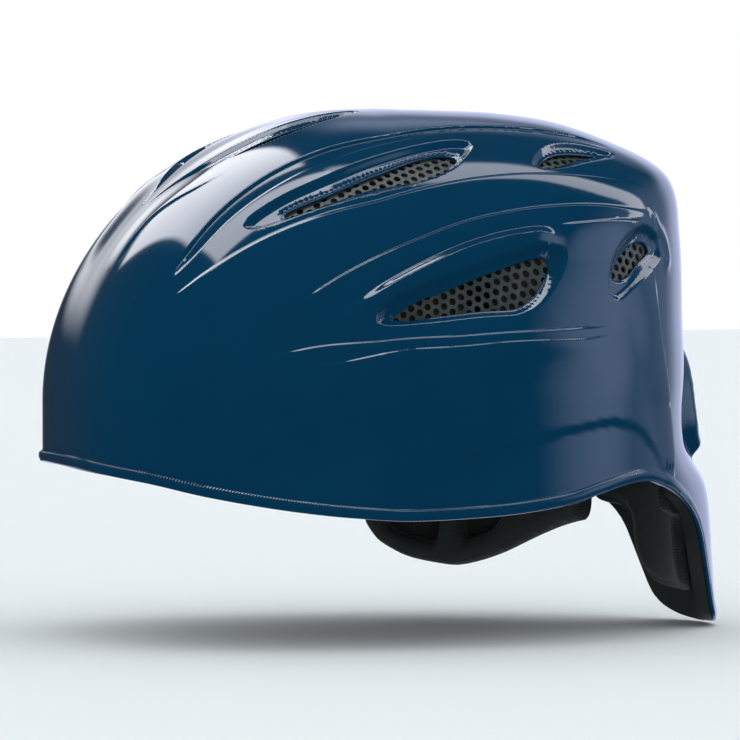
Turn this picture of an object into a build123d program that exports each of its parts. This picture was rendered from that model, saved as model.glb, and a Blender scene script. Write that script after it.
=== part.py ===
from build123d import *
import os
import numpy as np
from scipy.spatial import Delaunay
from math import *

# Catcher-style ball helmet, built in its own frame (millimetres).
# +Z up, the wearer faces -Y, the wearer's left side is +X.
# The origin is the centre of the plane of the head's girth, inside the shell.

# ---------------------------------------------------------------- driving sizes
CROWN_H = 118.6          # shell crown above the girth plane
FRONT_A = 127.5          # shell front from the origin
BACK_A = 130.0           # shell back from the origin, above the nape flare
SIDE_B = 104.0           # shell half width
N_FRONT = 2.8            # plan squareness, front half
N_BACK = 2.4             # plan squareness, back half
N_SIDE = 2.3             # squareness of the side profile
P_FRONT = 1.93           # roundness of the front profile
FLARE_W = 19.0           # angular width of the nape flare, degrees

SHELL_T = 3.0            # moulded shell
MESH_OUT, MESH_IN = -3.7, -4.5      # vent mesh sheet, behind the shell
LINER_OUT, LINER_IN = -5.2, -16.0   # impact foam
NAPE_OUT, NAPE_IN = -3.5, -7.6      # thin foam on the nape tongue
TAPE_OUT, TAPE_IN = -16.6, -17.2    # hook tape on the liner
LOOP_OUT, LOOP_IN = -17.9, -18.4    # loop backing of a pad
PAD_OUT, PAD_IN = -18.8, -26.8      # comfort pads
SIDE_SHIFT = -0.9        # extra running gap of the side pads, which move up and down
SIDE_PAD_DROP = 34.0     # how much lower the right side pad is fitted than the left
LIP_H = 4.0              # rolled lip along the rim
LIP_T = 1.5              # how far the lip stands out

# sagittal profile of the back half: (distance back, height)
BACK_PROFILE = [(130.0, 0), (130.4, 28), (130.0, 71), (129.5, 83), (126, 91.8), (118, 98), (109, 102.4),
                (97, 107.3), (81, 112.7), (56, 116.7), (30, 118.0), (15.5, 118.4), (0, 118.6)]
# nape flare: (height, how far the centre back stands out)
FLARE = [(-120, 21.0), (-100, 20.5), (-88, 20.0), (-67, 18.5), (-47, 17.0), (-36, 15.0), (-30, 11.5),
         (-24, 6.5), (-16, 1.5), (-6, 0.0), (10, 0.0)]
# rim height along the front and sides, and the outline of the nape tongue
RIM_SIDE = [(-200, -23.0), (-128, -23.5), (-123, -25), (-109, -28), (-93, -32), (-75, -35.5), (-56, -38.5), (-34, -41), (-10, -42.5),
            (20, -41.5), (54, -38), (71, -33.8), (80, -31.6), (89, -30), (93, -29.7)]
RIM_BACK = [(0, -93), (12, -92.3), (22, -89.5), (28.5, -84), (32.5, -75), (36, -66), (41, -54), (49, -45),
            (60, -37.5), (71, -32.5), (81, -29.7), (150, -29.7)]
SPLIT_Y = 93.0

# vent outlines on the shell's left side (mirrored for the right), as points on its outer face
SIDE_VENT = [(99, -14, 38), (99, -8, 45), (97, 8, 50), (94, 28, 57), (91, 44, 62), (90, 51, 62), (91, 54, 60), (95, 47, 49),
             (97, 41, 43), (98, 36, 41), (100, 22, 40), (101, 2, 38), (101, -12, 36)]
UPPER_VENT = [(76, -56, 79), (75, -36, 88), (68, -13, 96), (62, 4, 102), (60, 15, 104), (62, 20, 102), (69, 14, 97),
              (73, -1, 92), (75, -12, 90), (76, -22, 88), (79, -39, 83), (78, -54, 78)]
REAR_TOP_VENT = [(64, 56, 98), (59, 60, 101), (55, 66, 103), (50, 77, 103), (46, 87, 102), (56, 76, 99), (65, 60, 96)]
REAR_SIDE_VENT = [(83, 81, 52), (81, 84, 58), (76, 89, 65), (71, 95, 67), (67, 101, 66), (66, 104, 63), (73, 97, 58),
                  (80, 88, 51)]
INNER_VENT_MAP = [(8.6, -5.6), (12.6, -11.5), (15.9, -18.4), (16.8, -26.1), (15.6, -31), (13.2, -35), (10.8, -31.5), (10.4, -26), (9.8, -19), (8.6, -13), (7.4, -7.4)]  # degrees on the map, beside the crown spine


# ---------------------------------------------------------------- base surface
def pchip(pts):
    pts = sorted(pts)
    xs = [p[0] for p in pts]
    ys = [p[1] for p in pts]
    n = len(xs)
    h = [xs[i + 1] - xs[i] for i in range(n - 1)]
    d = [(ys[i + 1] - ys[i]) / h[i] for i in range(n - 1)]
    m = [0.0] * n
    for i in range(1, n - 1):
        if d[i - 1] * d[i] > 0:
            w1, w2 = 2 * h[i] + h[i - 1], h[i] + 2 * h[i - 1]
            m[i] = (w1 + w2) / (w1 / d[i - 1] + w2 / d[i])
    m[0], m[-1] = d[0], d[-1]

    def f(x):
        x = min(max(x, xs[0]), xs[-1])
        i = 0
        while i < n - 2 and x > xs[i + 1]:
            i += 1
        t = (x - xs[i]) / h[i]
        return ((1 + 2 * t) * (1 - t) ** 2 * ys[i] + t * (1 - t) ** 2 * h[i] * m[i]
                + t * t * (3 - 2 * t) * ys[i + 1] + t * t * (t - 1) * h[i] * m[i + 1])
    return f


back_rho = pchip([(atan2(z, y), hypot(y, z)) for y, z in BACK_PROFILE])
flare = pchip(FLARE)
rim_side = pchip(RIM_SIDE)
rim_back = pchip(RIM_BACK)


def rho(psi, eps, off):
    c, s, ce, se = cos(psi), sin(psi), cos(eps), sin(eps)
    if s > 0:
        fb, n0 = back_rho(eps), N_BACK
    else:
        fb, n0 = ((ce / FRONT_A) ** P_FRONT + (se / CROWN_H) ** P_FRONT) ** (-1 / P_FRONT), N_FRONT
    side = ((ce / SIDE_B) ** N_SIDE + (se / CROWN_H) ** N_SIDE) ** (-1 / N_SIDE)
    n = 2 + (n0 - 2) * ce ** 2
    return (abs(s) ** n / fb ** n + abs(c) ** n / side ** n) ** (-1 / n) + off


def radius(psi, z, off, flared=True):
    """distance of the surface from the Z axis, in the direction psi, at height z"""
    c, s = cos(psi), sin(psi)
    if z <= 0:
        a, n = (BACK_A, N_BACK) if s > 0 else (FRONT_A, N_FRONT)
        w = exp(-(degrees(abs(atan2(c, s))) / FLARE_W) ** 2) if flared else 0.0
        return (abs(s) ** n / a ** n + abs(c) ** n / SIDE_B ** n) ** (-1 / n) + off + w * flare(z)
    lo, hi = 0.0, pi / 2
    for _ in range(40):
        m = (lo + hi) / 2
        if rho(psi, m, off) * sin(m) > z:
            hi = m
        else:
            lo = m
    e = (lo + hi) / 2
    return rho(psi, e, off) * cos(e)



# ---------------------------------------------------------------- flat map of the shell
# Every layered piece is an outline in one flat map of the shell: the distance from the map's centre
# is the angle down from the crown in degrees, and below the girth plane it goes on at DEG_MM per mm.
DEG_MM = 0.5


def to_map(p):
    x, y, z = p
    a = atan2(y, x)
    r = 90 - degrees(atan2(z, hypot(x, y))) if z > 0 else 90 - z * DEG_MM
    return (r * cos(a), r * sin(a))


def lift(u, v, off, flared=True):
    r, a = hypot(u, v), atan2(v, u)
    if r < 90:
        e = radians(90 - r)
        d = rho(a, e, off)
        return (d * cos(e) * cos(a), d * cos(e) * sin(a), d * sin(e))
    z = -(r - 90) / DEG_MM
    d = radius(a, z, off, flared)
    return (d * cos(a), d * sin(a), z)


def rim_r(a, up):
    """map radius of the rim line raised by up, in direction a"""
    lo, hi = 60.0, 150.0
    for _ in range(30):
        m = (lo + hi) / 2
        x, y, z = lift(m * cos(a), m * sin(a), 0.0)
        line = rim_side(y) if y < SPLIT_Y else min(rim_back(abs(x)), -29.0)
        if z < line + up:
            hi = m
        else:
            lo = m
    return (lo + hi) / 2


def sector(a0, a1, r0, r1, up=None, step=6.0):
    """ring sector of the map, degrees; its outer edge is the rim raised by up, or r1"""
    n = max(2, int(abs(a1 - a0) / step * 2))
    angs = [radians(a0 + (a1 - a0) * i / n) for i in range(n + 1)]
    outer = []
    for a in angs:
        r = min(r1, rim_r(a, up)) if up is not None else r1
        outer.append((r * cos(a), r * sin(a)))
    inner = [(r0 * cos(a), r0 * sin(a)) for a in reversed(angs)]
    return outer + inner


def ring(r, n=40, cen=(0, 0), k=1.0):
    return [(cen[0] + r * cos(2 * pi * i / n), cen[1] + k * r * sin(2 * pi * i / n)) for i in range(n)]


def grow(poly, d):
    """outline moved outwards by d, in map degrees"""
    n = len(poly)
    area = sum(poly[i][0] * poly[(i + 1) % n][1] - poly[(i + 1) % n][0] * poly[i][1] for i in range(n))
    sg = 1 if area > 0 else -1
    res = []
    for i in range(n):
        a, b, c = poly[i - 1], poly[i], poly[(i + 1) % n]
        e1, e2 = (b[0] - a[0], b[1] - a[1]), (c[0] - b[0], c[1] - b[1])
        l1, l2 = hypot(*e1), hypot(*e2)
        n1, n2 = (sg * e1[1] / l1, -sg * e1[0] / l1), (sg * e2[1] / l2, -sg * e2[0] / l2)
        k = d / max(0.6, 1 + n1[0] * n2[0] + n1[1] * n2[1])
        res.append((b[0] + (n1[0] + n2[0]) * k, b[1] + (n1[1] + n2[1]) * k))
    return res


def resample(poly, h):
    out = []
    n = len(poly)
    for i in range(n):
        a, b = poly[i], poly[(i + 1) % n]
        d = hypot(b[0] - a[0], b[1] - a[1])
        k = max(1, int(round(d / h)))
        for j in range(k):
            out.append((a[0] + (b[0] - a[0]) * j / k, a[1] + (b[1] - a[1]) * j / k))
    return out


def inside(px, py, poly):
    q = np.asarray(poly)
    x0, y0 = q[:, 0], q[:, 1]
    x1, y1 = np.roll(x0, -1), np.roll(y0, -1)
    res = np.zeros(len(px), bool)
    for i in range(len(q)):
        c = (y0[i] > py) != (y1[i] > py)
        xx = (x1[i] - x0[i]) * (py - y0[i]) / (y1[i] - y0[i] + 1e-30) + x0[i]
        res ^= c & (px < xx)
    return res


def near(px, py, poly):
    q = np.asarray(poly)
    a, b = q, np.roll(q, -1, axis=0)
    best = np.full(len(px), 1e9)
    for i in range(len(q)):
        d = b[i] - a[i]
        t = np.clip(((px - a[i, 0]) * d[0] + (py - a[i, 1]) * d[1]) / max(d @ d, 1e-9), 0, 1)
        best = np.minimum(best, np.hypot(px - a[i, 0] - t * d[0], py - a[i, 1] - t * d[1]))
    return best


def slab(outline, o, i, holes=(), h=8.0, flared=True):
    """closed solid between two layers, over an outline of the map with holes"""
    polys = [resample(outline, min(h, 5.0))] + [resample(q, min(h, 4.0)) for q in holes]
    pts = [p for q in polys for p in q]
    q = np.asarray(outline)
    gx = np.arange(q[:, 0].min() + h * 0.5, q[:, 0].max(), h)
    gy = np.arange(q[:, 1].min() + h * 0.5, q[:, 1].max(), h * 0.87)
    X, Y = np.meshgrid(gx, gy)
    X = X + (np.arange(len(gy)) % 2)[:, None] * h / 2
    X, Y = X.ravel(), Y.ravel()
    if h > 3.5:
        # twice as fine over the tightly curved nape and the back corner of the crown
        fx, fy = np.meshgrid(np.arange(-54, 54.1, h / 2), np.arange(52, 150, h * 0.435))
        fx = fx + (np.arange(len(fy)) % 2)[:, None] * h / 4
        fx, fy = fx.ravel(), fy.ravel()
        far = ~((np.abs(X) < 54 + h / 2) & (Y > 52 - h / 2))
        X, Y = np.concatenate([X[far], fx]), np.concatenate([Y[far], fy])
    ok = inside(X, Y, outline) & (near(X, Y, outline) > 0.4 * min(h, 6))
    for w in holes:
        ok &= ~inside(X, Y, w) & (near(X, Y, w) > 0.35 * min(h, 6))
    allp = np.array(pts + list(zip(X[ok], Y[ok])))
    tri = Delaunay(allp).simplices
    c = allp[tri].mean(axis=1)
    keep = inside(c[:, 0], c[:, 1], polys[0])
    for w in polys[1:]:
        keep &= ~inside(c[:, 0], c[:, 1], w)
    tri = tri[keep]
    P = allp[tri]
    ar = (P[:, 1, 0] - P[:, 0, 0]) * (P[:, 2, 1] - P[:, 0, 1]) - (P[:, 2, 0] - P[:, 0, 0]) * (P[:, 1, 1] - P[:, 0, 1])
    tri = np.where((ar > 0)[:, None], tri, tri[:, ::-1])
    tri = tri[np.abs(ar) > 1e-3]
    po = [lift(u, v, o(u, v) if callable(o) else o, flared) for u, v in allp]
    pi_ = [lift(u, v, i, flared) for u, v in allp]
    edges = {}
    for t in tri:
        for k in range(3):
            edges[(int(t[k]), int(t[(k + 1) % 3]))] = 1
    faces = []

    def add(a, b, c):
        faces.append(Face(Wire.make_polygon([Vector(*a), Vector(*b), Vector(*c)], close=True)))
    for a, b, c in tri:
        add(po[a], po[b], po[c])
        add(pi_[c], pi_[b], pi_[a])
    for a, b in edges:
        if (b, a) not in edges:
            add(po[b], po[a], pi_[a])
            add(po[b], pi_[a], pi_[b])
    s = Solid(Shell(faces))
    return s


os.makedirs("parts", exist_ok=True)


def save(s, name):
    s.label = name
    export_step(s, "parts/" + name + ".step")
    print(name, len(s.solids()), "solid(s)", len(s.faces()), "faces", round(s.volume / 1000, 2), "cm3", s.is_valid)


def mirror_map(poly):
    return [(-u, v) for u, v in reversed(poly)]


VENTS = {"left_inner_vent": INNER_VENT_MAP, "right_inner_vent": mirror_map(INNER_VENT_MAP)}
for part_name, pts in (("upper_vent", UPPER_VENT), ("side_vent", SIDE_VENT), ("rear_top_vent", REAR_TOP_VENT), ("rear_side_vent", REAR_SIDE_VENT)):
    m = [to_map(p) for p in pts]
    VENTS["left_" + part_name] = m
    VENTS["right_" + part_name] = mirror_map(m)

# ---------------------------------------------------------------- outer shell and its rolled lip
RIM = [(rim_r(radians(a), 0.0) * cos(radians(a)), rim_r(radians(a), 0.0) * sin(radians(a))) for a in
       [4 * i for i in range(14)] + [54 + 2 * i for i in range(37)] + [130 + 4 * i for i in range(58)]]
save(slab(RIM, 0.0, -SHELL_T, holes=list(VENTS.values()), h=7.5), "outer_shell")
LIP_IN_EDGE = [(r * cos(a), r * sin(a)) for r, a in ((rim_r(atan2(v, u), LIP_H), atan2(v, u)) for u, v in RIM)]


def rim_band(o, i, name):
    n = len(RIM)
    faces = []
    A = [lift(u, v, o) for u, v in RIM]
    B = [lift(u, v, o) for u, v in LIP_IN_EDGE]
    C = [lift(u, v, i) for u, v in LIP_IN_EDGE]
    D = [lift(u, v, i) for u, v in RIM]
    for k in range(n):
        j = (k + 1) % n
        for P, Q in ((A, B), (B, C), (C, D), (D, A)):
            for t in ((P[k], P[j], Q[j]), (P[k], Q[j], Q[k])):
                faces.append(Face(Wire.make_polygon([Vector(*x) for x in t], close=True)))
    save(Solid(Shell(faces)), name)


rim_band(LIP_T + 0.1, 0.1, "rim_lip")

# raised keeper for a mask harness strap, on the centre back: a wedge that grows downwards and ends above the nape
KEEP = [to_map((x, 130, z)) for x, z in ((-24, 28), (24, 28), (24, -14), (20, -24), (14, -28.5), (-14, -28.5), (-20, -24), (-24, -14))]
KEEP_HEIGHT = [(-28.5, 4.0), (-22, 8.8), (-18, 9.4), (-2, 8.3), (14, 5.0), (28, 1.3)]


def keep_height(u, v):
    r = hypot(u, v)
    z = (90 - r) / DEG_MM if r > 90 else 130 * sin(radians(90 - r))
    return float(np.interp(z, [k[0] for k in KEEP_HEIGHT], [k[1] for k in KEEP_HEIGHT]))


save(slab(KEEP, keep_height, 0.5, h=4), "strap_keeper")

# ---------------------------------------------------------------- vent mesh sheets
for name, m in VENTS.items():
    save(slab(grow(m, 1.6), MESH_OUT, MESH_IN, h=5), name + "_mesh")

# ---------------------------------------------------------------- impact liners, each with air holes
def centre(m):
    return (sum(p[0] for p in m) / len(m), sum(p[1] for p in m) / len(m))


HOLE = {k: ring(5.0 if "rear" not in k else 3.0, 10, centre(m)) for k, m in VENTS.items()}
crown_edge = ring(47.0, 44)
save(slab(crown_edge, LINER_OUT, LINER_IN, holes=[HOLE[k] for k in ("left_inner_vent", "right_inner_vent", "left_upper_vent", "right_upper_vent", "left_rear_top_vent", "right_rear_top_vent")], h=7.5), "crown_liner")
save(slab(sector(-149, -31, 48.5, 200, up=5.0), LINER_OUT, LINER_IN, h=7.5), "front_liner")
left = sector(-29.5, 44, 48.5, 200, up=5.0)
save(slab(left, LINER_OUT, LINER_IN, holes=[HOLE["left_side_vent"]], h=7.5), "left_liner")
save(slab(mirror_map(left), LINER_OUT, LINER_IN, holes=[HOLE["right_side_vent"]], h=7.5), "right_liner")
save(slab(sector(45.5, 134.5, 48.5, 102.5), LINER_OUT, LINER_IN, holes=[HOLE["left_rear_side_vent"], HOLE["right_rear_side_vent"]], h=7.5), "rear_liner")
NAPE_LINER = sector(63.0, 117.0, 103.3, 200, up=0.7, step=3.0)
save(slab(NAPE_LINER, NAPE_OUT, NAPE_IN, h=5), "nape_liner")


# ---------------------------------------------------------------- hook tape, loop backing and comfort pads
def yz_map(pts, off, sgn):
    """outline given as (distance back, height) on one side, put on the map"""
    res = []
    for y, z in pts:
        lo, hi = -pi / 2 + 0.01, pi / 2 - 0.01
        for _ in range(40):
            m = (lo + hi) / 2
            if radius(m, z, off, False) * sin(m) > y:
                hi = m
            else:
                lo = m
        r = radius(m, z, off, False)
        res.append(to_map((sgn * r * cos(m), r * sin(m), z)))
    return res


def front_map(pts):
    return [to_map((x, -110.0, z)) for x, z in pts]


FOREHEAD = sector(-117, -63, 80, 98)
save(slab(sector(-112, -68, 83, 95), TAPE_OUT, TAPE_IN, h=5), "forehead_hook_tape")
save(slab(sector(-113, -67, 82, 96), LOOP_OUT, LOOP_IN, h=5), "forehead_pad_backing")
save(slab(FOREHEAD, PAD_OUT, PAD_IN, h=6), "forehead_pad")
save(slab(ring(12, 20, (0, 6), 1.5), TAPE_OUT, TAPE_IN, h=5), "crown_hook_tape")
save(slab(ring(16, 24, (0, 4), 1.4), LOOP_OUT, LOOP_IN, h=5), "crown_pad_backing")
save(slab(ring(17, 24, (0, 4), 1.4), PAD_OUT, PAD_IN, h=6), "crown_pad")

BAND_LOW = [(24, -30), (24.5, -53), (29, -60.5), (33, -64.5), (41.5, -69.5), (50, -72), (60, -73.8), (66, -73.4), (73.5, -71.2),
            (81, -67.6), (88, -62.8), (94.5, -58.3), (100.5, -54.3), (104, -52.3)]
BAND_TOP = [(104, -34), (97, -26), (80, -18), (60, -16), (40, -17), (29, -21)]
WIN_A = [(33, -52), (36, -57.5), (43.5, -61.3), (51.5, -63.4), (56.5, -63.4), (57.5, -50), (57.5, -40), (54, -36), (38, -37), (33, -42)]
WIN_B = [(66.5, -62.6), (70, -61.8), (76, -59.4), (81, -53.6), (82, -47), (79, -40), (72, -36.5), (67, -38), (65.5, -50)]
PLATE = [(27, -31), (27.5, -51), (31.5, -57.5), (42.5, -66.5), (51, -69), (60, -70.6), (66, -70.2), (72.5, -68.2), (79.5, -64.8), (86.5, -60),
         (93, -55.6), (100.5, -51), (101, -36), (95.5, -28.8), (79, -21), (60, -19), (40, -20), (31, -23.5)]
for side, sgn, dz in (("left", 1, SIDE_PAD_DROP), ("right", -1, 0.0)):
    def at(pts):
        return yz_map([(y, z + dz) for y, z in pts], PAD_IN / 2 + PAD_OUT / 2 + SIDE_SHIFT, sgn)
    save(slab(yz_map([(34, -31), (64, -31), (64, -3), (34, -3)], TAPE_OUT, sgn), TAPE_OUT, TAPE_IN, h=5), side + "_side_hook_tape")
    save(slab(at(PLATE), LOOP_OUT + SIDE_SHIFT, LOOP_IN + SIDE_SHIFT, h=6, flared=False), side + "_side_pad_backing")
    save(slab(at(BAND_LOW + BAND_TOP), PAD_OUT + SIDE_SHIFT, PAD_IN + SIDE_SHIFT, holes=[at(WIN_A), at(WIN_B)], h=4.5, flared=False), side + "_side_pad")

save(slab(sector(81, 99, 112, 124), NAPE_IN - 0.4, NAPE_IN - 1.0, h=4), "nape_hook_tape")
save(slab(sector(80.5, 99.5, 111, 125), NAPE_IN - 1.6, NAPE_IN - 2.1, h=4), "nape_pad_backing")
NP = [(-46, -34), (-36, -34), (-24, -34), (-12, -34), (0, -34), (12, -34), (24, -34), (36, -34), (46, -34), (47, -40), (45.5, -46), (37, -47), (29, -47.5), (26, -52), (26, -62), (23, -72), (17, -78), (8, -80.5), (-8, -80.5), (-17, -78), (-23, -72), (-26, -62), (-26, -52), (-29, -47.5), (-37, -47), (-45.5, -46), (-47, -40)]
save(slab([to_map((x, 128, z)) for x, z in NP], NAPE_IN - 2.5, NAPE_IN - 8.4, h=4), "nape_pad")
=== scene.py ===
import bpy, bmesh
import numpy as np
from math import radians, degrees, sin, cos, pi, atan2, hypot, sqrt, exp
from mathutils import Vector, Matrix
from mathutils.geometry import delaunay_2d_cdt
from mathutils.kdtree import KDTree


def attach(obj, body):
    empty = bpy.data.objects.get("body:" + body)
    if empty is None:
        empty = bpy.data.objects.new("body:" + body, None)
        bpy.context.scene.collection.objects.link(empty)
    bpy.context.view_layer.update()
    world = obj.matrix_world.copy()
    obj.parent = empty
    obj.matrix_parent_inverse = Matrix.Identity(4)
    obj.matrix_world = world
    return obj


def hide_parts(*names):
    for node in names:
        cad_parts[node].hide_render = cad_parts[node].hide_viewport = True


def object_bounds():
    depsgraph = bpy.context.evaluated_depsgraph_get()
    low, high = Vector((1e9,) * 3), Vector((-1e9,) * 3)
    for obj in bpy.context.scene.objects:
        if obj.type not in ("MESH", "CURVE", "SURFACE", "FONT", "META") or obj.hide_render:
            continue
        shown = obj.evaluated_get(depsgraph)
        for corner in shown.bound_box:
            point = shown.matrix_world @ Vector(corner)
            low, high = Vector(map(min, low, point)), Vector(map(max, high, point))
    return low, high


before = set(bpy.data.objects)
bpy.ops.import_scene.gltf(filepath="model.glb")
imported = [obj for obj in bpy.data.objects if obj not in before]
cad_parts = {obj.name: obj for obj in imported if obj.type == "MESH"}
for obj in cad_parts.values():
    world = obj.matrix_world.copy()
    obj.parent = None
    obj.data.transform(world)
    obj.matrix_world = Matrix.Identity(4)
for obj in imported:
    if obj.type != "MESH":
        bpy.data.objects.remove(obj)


def as_list(b):
    try:
        return [[float(c) for c in v] for v in b]
    except TypeError:
        return [float(c) for c in b]


CAD_BOX = as_list(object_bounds())

# ------------------------------------------------------------------ base surface (same numbers as the CAD, mm)
CROWN_H, FRONT_A, BACK_A, SIDE_B = 118.6, 127.5, 130.0, 104.0
N_FRONT, N_BACK, N_SIDE, P_FRONT, FLARE_W = 2.8, 2.4, 2.3, 1.93, 19.0
DEG_MM = 0.5
BACK_PROFILE = [(130.0, 0), (130.4, 28), (130.0, 71), (129.5, 83), (126, 91.8), (118, 98), (109, 102.4),
                (97, 107.3), (81, 112.7), (56, 116.7), (30, 118.0), (15.5, 118.4), (0, 118.6)]
FLARE = [(-120, 21.0), (-100, 20.5), (-88, 20.0), (-67, 18.5), (-47, 17.0), (-36, 15.0), (-30, 11.5),
         (-24, 6.5), (-16, 1.5), (-6, 0.0), (10, 0.0)]
RIM_SIDE = [(-200, -23.0), (-128, -23.5), (-123, -25), (-109, -28), (-93, -32), (-75, -35.5), (-56, -38.5), (-34, -41), (-10, -42.5),
            (20, -41.5), (54, -38), (71, -33.8), (80, -31.6), (89, -30), (93, -29.7)]
RIM_BACK = [(0, -93), (12, -92.3), (22, -89.5), (28.5, -84), (32.5, -75), (36, -66), (41, -54), (49, -45),
            (60, -37.5), (71, -32.5), (81, -29.7), (150, -29.7)]
SPLIT_Y = 93.0


def pchip(pts):
    pts = sorted(pts)
    xs = np.array([p[0] for p in pts], float)
    ys = np.array([p[1] for p in pts], float)
    h = np.diff(xs)
    d = np.diff(ys) / h
    m = np.zeros_like(ys)
    for i in range(1, len(xs) - 1):
        if d[i - 1] * d[i] > 0:
            w1, w2 = 2 * h[i] + h[i - 1], h[i] + 2 * h[i - 1]
            m[i] = (w1 + w2) / (w1 / d[i - 1] + w2 / d[i])
    m[0], m[-1] = d[0], d[-1]

    def f(x):
        x = np.clip(np.asarray(x, float), xs[0], xs[-1])
        i = np.clip(np.searchsorted(xs, x) - 1, 0, len(xs) - 2)
        t = (x - xs[i]) / h[i]
        return ((1 + 2 * t) * (1 - t) ** 2 * ys[i] + t * (1 - t) ** 2 * h[i] * m[i]
                + t * t * (3 - 2 * t) * ys[i + 1] + t * t * (t - 1) * h[i] * m[i + 1])
    return f


def smooth_profile(f, lo, hi, width, n=400):
    """f averaged over a small width, so that its curvature has no jumps"""
    xs = np.linspace(lo, hi, n)
    k = np.linspace(-1, 1, 21)
    w = (1 - k * k) ** 2
    w /= w.sum()
    ys = sum(wi * f(np.clip(xs + ki * width, lo, hi)) for wi, ki in zip(w, k))

    def g(x):
        x = np.clip(np.asarray(x, float), lo, hi)
        t = (x - lo) / (hi - lo) * (n - 1)
        i = np.clip(t.astype(int), 1, n - 3)
        s = t - i
        p0, p1, p2, p3 = ys[i - 1], ys[i], ys[i + 1], ys[i + 2]
        return 0.5 * (2 * p1 + (p2 - p0) * s + (2 * p0 - 5 * p1 + 4 * p2 - p3) * s * s + (3 * p1 - p0 - 3 * p2 + p3) * s ** 3)
    return g


_back = pchip([(atan2(z, y), hypot(y, z)) for y, z in BACK_PROFILE])
back_rho = smooth_profile(_back, 0.0, pi / 2, radians(3.2))
_flare = pchip(FLARE)
flare = smooth_profile(_flare, -120.0, 10.0, 4.0)
rim_side = pchip(RIM_SIDE)
rim_back = pchip(RIM_BACK)


def rho(psi, eps):
    c, s, ce, se = np.cos(psi), np.sin(psi), np.cos(eps), np.sin(eps)
    ff = ((ce / FRONT_A) ** P_FRONT + (se / CROWN_H) ** P_FRONT) ** (-1 / P_FRONT)
    fb = np.where(s > 0, back_rho(eps), ff)
    n0 = np.where(s > 0, N_BACK, N_FRONT)
    side = ((ce / SIDE_B) ** N_SIDE + (se / CROWN_H) ** N_SIDE) ** (-1 / N_SIDE)
    n = 2 + (n0 - 2) * ce ** 2
    return (np.abs(s) ** n / fb ** n + np.abs(c) ** n / side ** n) ** (-1 / n)


def wall(psi, z, flared=True):
    c, s = np.cos(psi), np.sin(psi)
    a = np.where(s > 0, BACK_A, FRONT_A)
    n = np.where(s > 0, N_BACK, N_FRONT)
    r = (np.abs(s) ** n / a ** n + np.abs(c) ** n / SIDE_B ** n) ** (-1 / n)
    if flared:
        r = r + np.exp(-(np.degrees(np.abs(np.arctan2(c, s))) / FLARE_W) ** 2) * flare(z)
    return r


def lift(uv, off, flared=True):
    """points of the flat map put on the surface, off mm outwards"""
    uv = np.asarray(uv, float).reshape(-1, 2)
    r = np.hypot(uv[:, 0], uv[:, 1])
    a = np.arctan2(uv[:, 1], uv[:, 0])
    off = np.broadcast_to(np.asarray(off, float), r.shape)
    e = np.radians(np.clip(90 - r, 0, 90))
    d1 = rho(a, e) + off
    z = -(r - 90) / DEG_MM
    d2 = wall(a, np.minimum(z, 0), flared) + off
    up = r < 90
    x = np.where(up, d1 * np.cos(e), d2)
    zz = np.where(up, d1 * np.sin(e), z)
    return np.stack([x * np.cos(a), x * np.sin(a), zz], -1)


def to_map(p):
    x, y, z = p
    a = atan2(y, x)
    r = 90 - degrees(atan2(z, hypot(x, y))) if z > 0 else 90 - z * DEG_MM
    return (r * cos(a), r * sin(a))


def rim_r(a, up):
    """map radius of the rim raised by up, for an array of directions"""
    a = np.asarray(a, float)
    lo, hi = np.full(a.shape, 60.0), np.full(a.shape, 150.0)
    for _ in range(34):
        m = (lo + hi) / 2
        p = lift(np.stack([m * np.cos(a), m * np.sin(a)], -1), 0.0)
        line = np.where(p[:, 1] < SPLIT_Y, rim_side(p[:, 1]), np.minimum(rim_back(np.abs(p[:, 0])), -29.0))
        below = p[:, 2] < line + up
        hi = np.where(below, m, hi)
        lo = np.where(below, lo, m)
    return (lo + hi) / 2


# ------------------------------------------------------------------ outline tools in the map
def catmull(pts, n=6, closed=True):
    P = np.asarray(pts, float)
    N = len(P)
    out = []
    for i in range(N if closed else N - 1):
        p0 = P[i - 1] if (closed or i > 0) else 2 * P[0] - P[1]
        p1, p2 = P[i], P[(i + 1) % N]
        p3 = P[(i + 2) % N] if (closed or i + 2 < N) else 2 * P[-1] - P[-2]
        t0 = 0.0
        t1 = t0 + max(np.linalg.norm(p1 - p0), 1e-6) ** 0.5
        t2 = t1 + max(np.linalg.norm(p2 - p1), 1e-6) ** 0.5
        t3 = t2 + max(np.linalg.norm(p3 - p2), 1e-6) ** 0.5
        for k in range(n):
            t = t1 + (t2 - t1) * k / n
            a1 = (t1 - t) / (t1 - t0) * p0 + (t - t0) / (t1 - t0) * p1
            a2 = (t2 - t) / (t2 - t1) * p1 + (t - t1) / (t2 - t1) * p2
            a3 = (t3 - t) / (t3 - t2) * p2 + (t - t2) / (t3 - t2) * p3
            b1 = (t2 - t) / (t2 - t0) * a1 + (t - t0) / (t2 - t0) * a2
            b2 = (t3 - t) / (t3 - t1) * a2 + (t - t1) / (t3 - t1) * a3
            out.append((t2 - t) / (t2 - t1) * b1 + (t - t1) / (t2 - t1) * b2)
    if not closed:
        out.append(P[-1])
    return np.array(out)


def chaikin(pts, n=2, closed=True):
    P = np.asarray(pts, float)
    for _ in range(n):
        Q = np.roll(P, -1, axis=0)
        a, b = 0.75 * P + 0.25 * Q, 0.25 * P + 0.75 * Q
        R = np.empty((2 * len(P), 2))
        R[0::2], R[1::2] = a, b
        if not closed:
            R = np.concatenate([P[:1], R[:-2][1:] if False else R[1:-2], P[-1:]])
        P = R
    return P


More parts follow.
